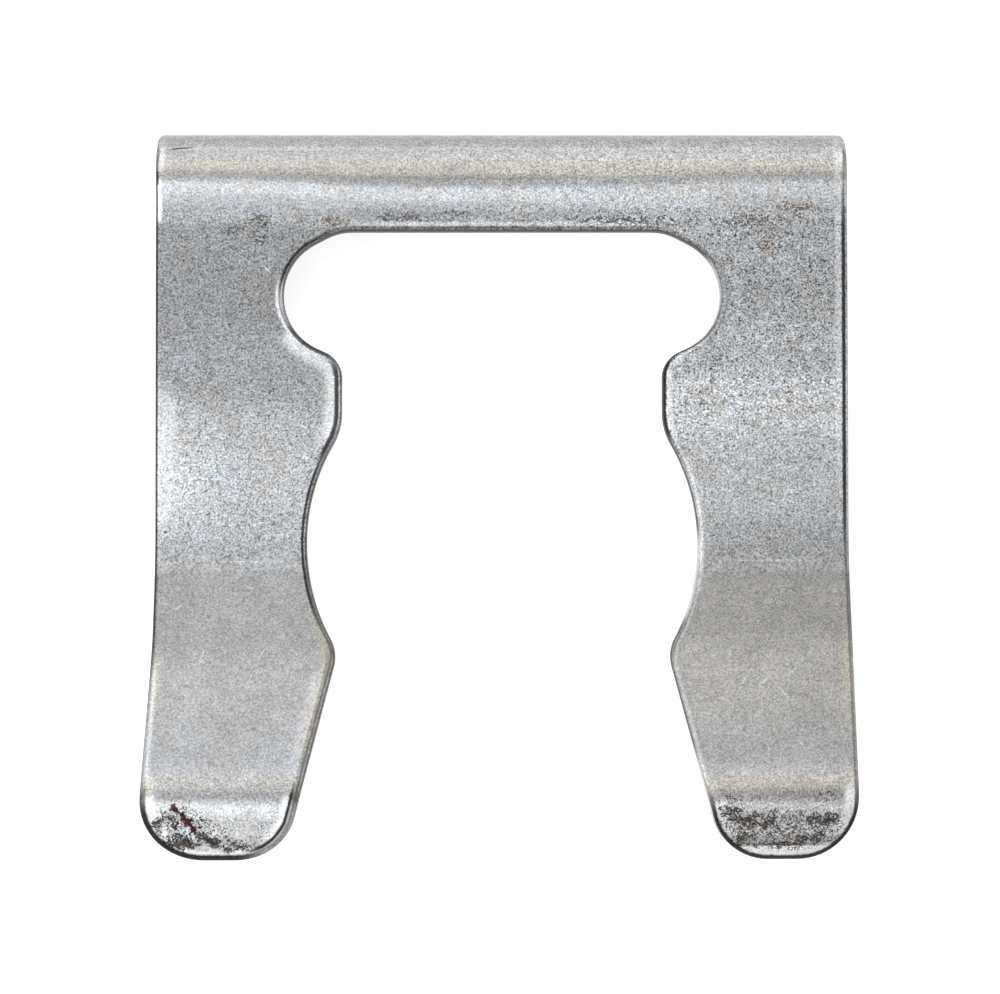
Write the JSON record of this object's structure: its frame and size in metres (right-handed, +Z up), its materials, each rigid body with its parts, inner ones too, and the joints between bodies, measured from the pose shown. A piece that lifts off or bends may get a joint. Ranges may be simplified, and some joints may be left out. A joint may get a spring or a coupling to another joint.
{
  "type": "flat spring clip",
  "caption": "U-shaped flat spring clip of folded sheet, with a back-turned flange, a notch with a round seat, and raised legs that end in rounded lead-in tips.",
  "frame": {"origin": "on the table, under the middle of the clip's outer box", "axes": "+X across the clip, +Y from the tips to the flange, +Z up from the table, with the clip's face up"},
  "size_m": [0.0358, 0.0376, 0.0043],
  "materials": {
    "spring_steel": "tumbled bare spring steel, matte with a fine grain, lightly rusted at the tips"
  },
  "bodies": {
    "root": {"spring_clip": "spring_steel"}
  },
  "joints": []
}
